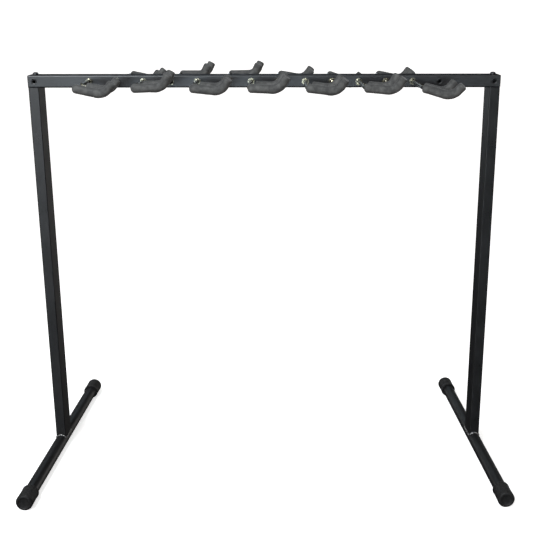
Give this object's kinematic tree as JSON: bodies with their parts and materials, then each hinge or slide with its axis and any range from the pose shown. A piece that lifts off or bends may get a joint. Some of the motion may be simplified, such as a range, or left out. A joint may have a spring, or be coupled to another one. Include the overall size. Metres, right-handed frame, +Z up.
{
  "type": "guitar rack",
  "caption": "Free-standing steel rack with two rows of swivelling padded hangers on a crossbar, for hanging stringed instruments by the head.",
  "frame": {"origin": "on the floor, under the middle of the crossbar", "axes": "+X along the crossbar towards the right upright, -Y the front row's side, +Z up"},
  "size_m": [1.13, 0.6756, 0.9598],
  "materials": {
    "powder_coat": "satin black powder coat with fine orange peel",
    "end_cap_plastic": "moulded, lightly textured",
    "black_fastener": "black oxide, slightly glossy",
    "zinc_plate": "zinc plated, slightly yellow",
    "plain_steel": "plain, oiled",
    "cap_rubber": "matte moulded rubber",
    "foam": "matte closed-cell foam"
  },
  "bodies": {
    "crossbar_assembly": {"crossbar": "powder_coat", "crossbar_left_end_cap": "end_cap_plastic", "crossbar_right_end_cap": "end_cap_plastic", "crossbar_bolts": "black_fastener", "hanger_washers": "zinc_plate"},
    "left_leg": {"left_upright": "powder_coat", "left_upright_threaded_plug": "plain_steel", "left_foot_tube": "powder_coat", "left_foot_front_cap": "cap_rubber", "left_foot_rear_cap": "cap_rubber"},
    "right_leg": {"right_upright": "powder_coat", "right_upright_threaded_plug": "plain_steel", "right_foot_tube": "powder_coat", "right_foot_front_cap": "cap_rubber", "right_foot_rear_cap": "cap_rubber"},
    "front_hanger_1": {"front_hanger_1_rod": "zinc_plate", "front_hanger_1_foam_sleeves": "foam", "front_hanger_1_nuts": "zinc_plate"},
    "front_hanger_2": {"front_hanger_2_rod": "zinc_plate", "front_hanger_2_foam_sleeves": "foam", "front_hanger_2_nuts": "zinc_plate"},
    "front_hanger_3": {"front_hanger_3_rod": "zinc_plate", "front_hanger_3_foam_sleeves": "foam", "front_hanger_3_nuts": "zinc_plate"},
    "front_hanger_4": {"front_hanger_4_rod": "zinc_plate", "front_hanger_4_foam_sleeves": "foam", "front_hanger_4_nuts": "zinc_plate"},
    "front_hanger_5": {"front_hanger_5_rod": "zinc_plate", "front_hanger_5_foam_sleeves": "foam", "front_hanger_5_nuts": "zinc_plate"},
    "front_hanger_6": {"front_hanger_6_rod": "zinc_plate", "front_hanger_6_foam_sleeves": "foam", "front_hanger_6_nuts": "zinc_plate"},
    "front_hanger_7": {"front_hanger_7_rod": "zinc_plate", "front_hanger_7_foam_sleeves": "foam", "front_hanger_7_nuts": "zinc_plate"},
    "rear_hanger_1": {"rear_hanger_1_rod": "zinc_plate", "rear_hanger_1_foam_sleeves": "foam", "rear_hanger_1_nuts": "zinc_plate"},
    "rear_hanger_2": {"rear_hanger_2_rod": "zinc_plate", "rear_hanger_2_foam_sleeves": "foam", "rear_hanger_2_nuts": "zinc_plate"},
    "rear_hanger_3": {"rear_hanger_3_rod": "zinc_plate", "rear_hanger_3_foam_sleeves": "foam", "rear_hanger_3_nuts": "zinc_plate"},
    "rear_hanger_4": {"rear_hanger_4_rod": "zinc_plate", "rear_hanger_4_foam_sleeves": "foam", "rear_hanger_4_nuts": "zinc_plate"},
    "rear_hanger_5": {"rear_hanger_5_rod": "zinc_plate", "rear_hanger_5_foam_sleeves": "foam", "rear_hanger_5_nuts": "zinc_plate"},
    "rear_hanger_6": {"rear_hanger_6_rod": "zinc_plate", "rear_hanger_6_foam_sleeves": "foam", "rear_hanger_6_nuts": "zinc_plate"}
  },
  "joints": [
    {"name": "left_leg_swivel", "type": "hinge", "parent": "crossbar_assembly", "child": "left_leg", "pos_m": [-0.531, 0, 0.91195], "axis": [0, 0, 1], "range_deg": [-87.5, 92.5]},
    {"name": "right_leg_swivel", "type": "hinge", "parent": "crossbar_assembly", "child": "right_leg", "pos_m": [0.531, 0, 0.91195], "axis": [0, 0, 1], "range_deg": [-92.5, 87.5]},
    {"name": "front_hanger_1_swivel", "type": "hinge", "parent": "crossbar_assembly", "child": "front_hanger_1", "pos_m": [-0.403, 0, 0.926], "axis": [0, 1, 0], "range_deg": [-42, 18]},
    {"name": "front_hanger_2_swivel", "type": "hinge", "parent": "crossbar_assembly", "child": "front_hanger_2", "pos_m": [-0.279, 0, 0.926], "axis": [0, 1, 0], "range_deg": [-29, 31]},
    {"name": "front_hanger_3_swivel", "type": "hinge", "parent": "crossbar_assembly", "child": "front_hanger_3", "pos_m": [-0.155, 0, 0.926], "axis": [0, 1, 0], "range_deg": [-36, 24]},
    {"name": "front_hanger_4_swivel", "type": "hinge", "parent": "crossbar_assembly", "child": "front_hanger_4", "pos_m": [-0.031, 0, 0.926], "axis": [0, 1, 0], "range_deg": [-33, 27]},
    {"name": "front_hanger_5_swivel", "type": "hinge", "parent": "crossbar_assembly", "child": "front_hanger_5", "pos_m": [0.093, 0, 0.926], "axis": [0, 1, 0], "range_deg": [-37, 23]},
    {"name": "front_hanger_6_swivel", "type": "hinge", "parent": "crossbar_assembly", "child": "front_hanger_6", "pos_m": [0.217, 0, 0.926], "axis": [0, 1, 0], "range_deg": [-35, 25]},
    {"name": "front_hanger_7_swivel", "type": "hinge", "parent": "crossbar_assembly", "child": "front_hanger_7", "pos_m": [0.341, 0, 0.926], "axis": [0, 1, 0], "range_deg": [-46, 14]},
    {"name": "rear_hanger_1_swivel", "type": "hinge", "parent": "crossbar_assembly", "child": "rear_hanger_1", "pos_m": [-0.341, 0, 0.926], "axis": [0, 1, 0], "range_deg": [-42, 18]},
    {"name": "rear_hanger_2_swivel", "type": "hinge", "parent": "crossbar_assembly", "child": "rear_hanger_2", "pos_m": [-0.217, 0, 0.926], "axis": [0, 1, 0], "range_deg": [-30, 30]},
    {"name": "rear_hanger_3_swivel", "type": "hinge", "parent": "crossbar_assembly", "child": "rear_hanger_3", "pos_m": [-0.093, 0, 0.926], "axis": [0, 1, 0], "range_deg": [-29, 31]},
    {"name": "rear_hanger_4_swivel", "type": "hinge", "parent": "crossbar_assembly", "child": "rear_hanger_4", "pos_m": [0.031, 0, 0.926], "axis": [0, 1, 0], "range_deg": [-39, 21]},
    {"name": "rear_hanger_5_swivel", "type": "hinge", "parent": "crossbar_assembly", "child": "rear_hanger_5", "pos_m": [0.155, 0, 0.926], "axis": [0, 1, 0], "range_deg": [-50, 10]},
    {"name": "rear_hanger_6_swivel", "type": "hinge", "parent": "crossbar_assembly", "child": "rear_hanger_6", "pos_m": [0.279, 0, 0.926], "axis": [0, 1, 0], "range_deg": [-41, 19]}
  ]
}
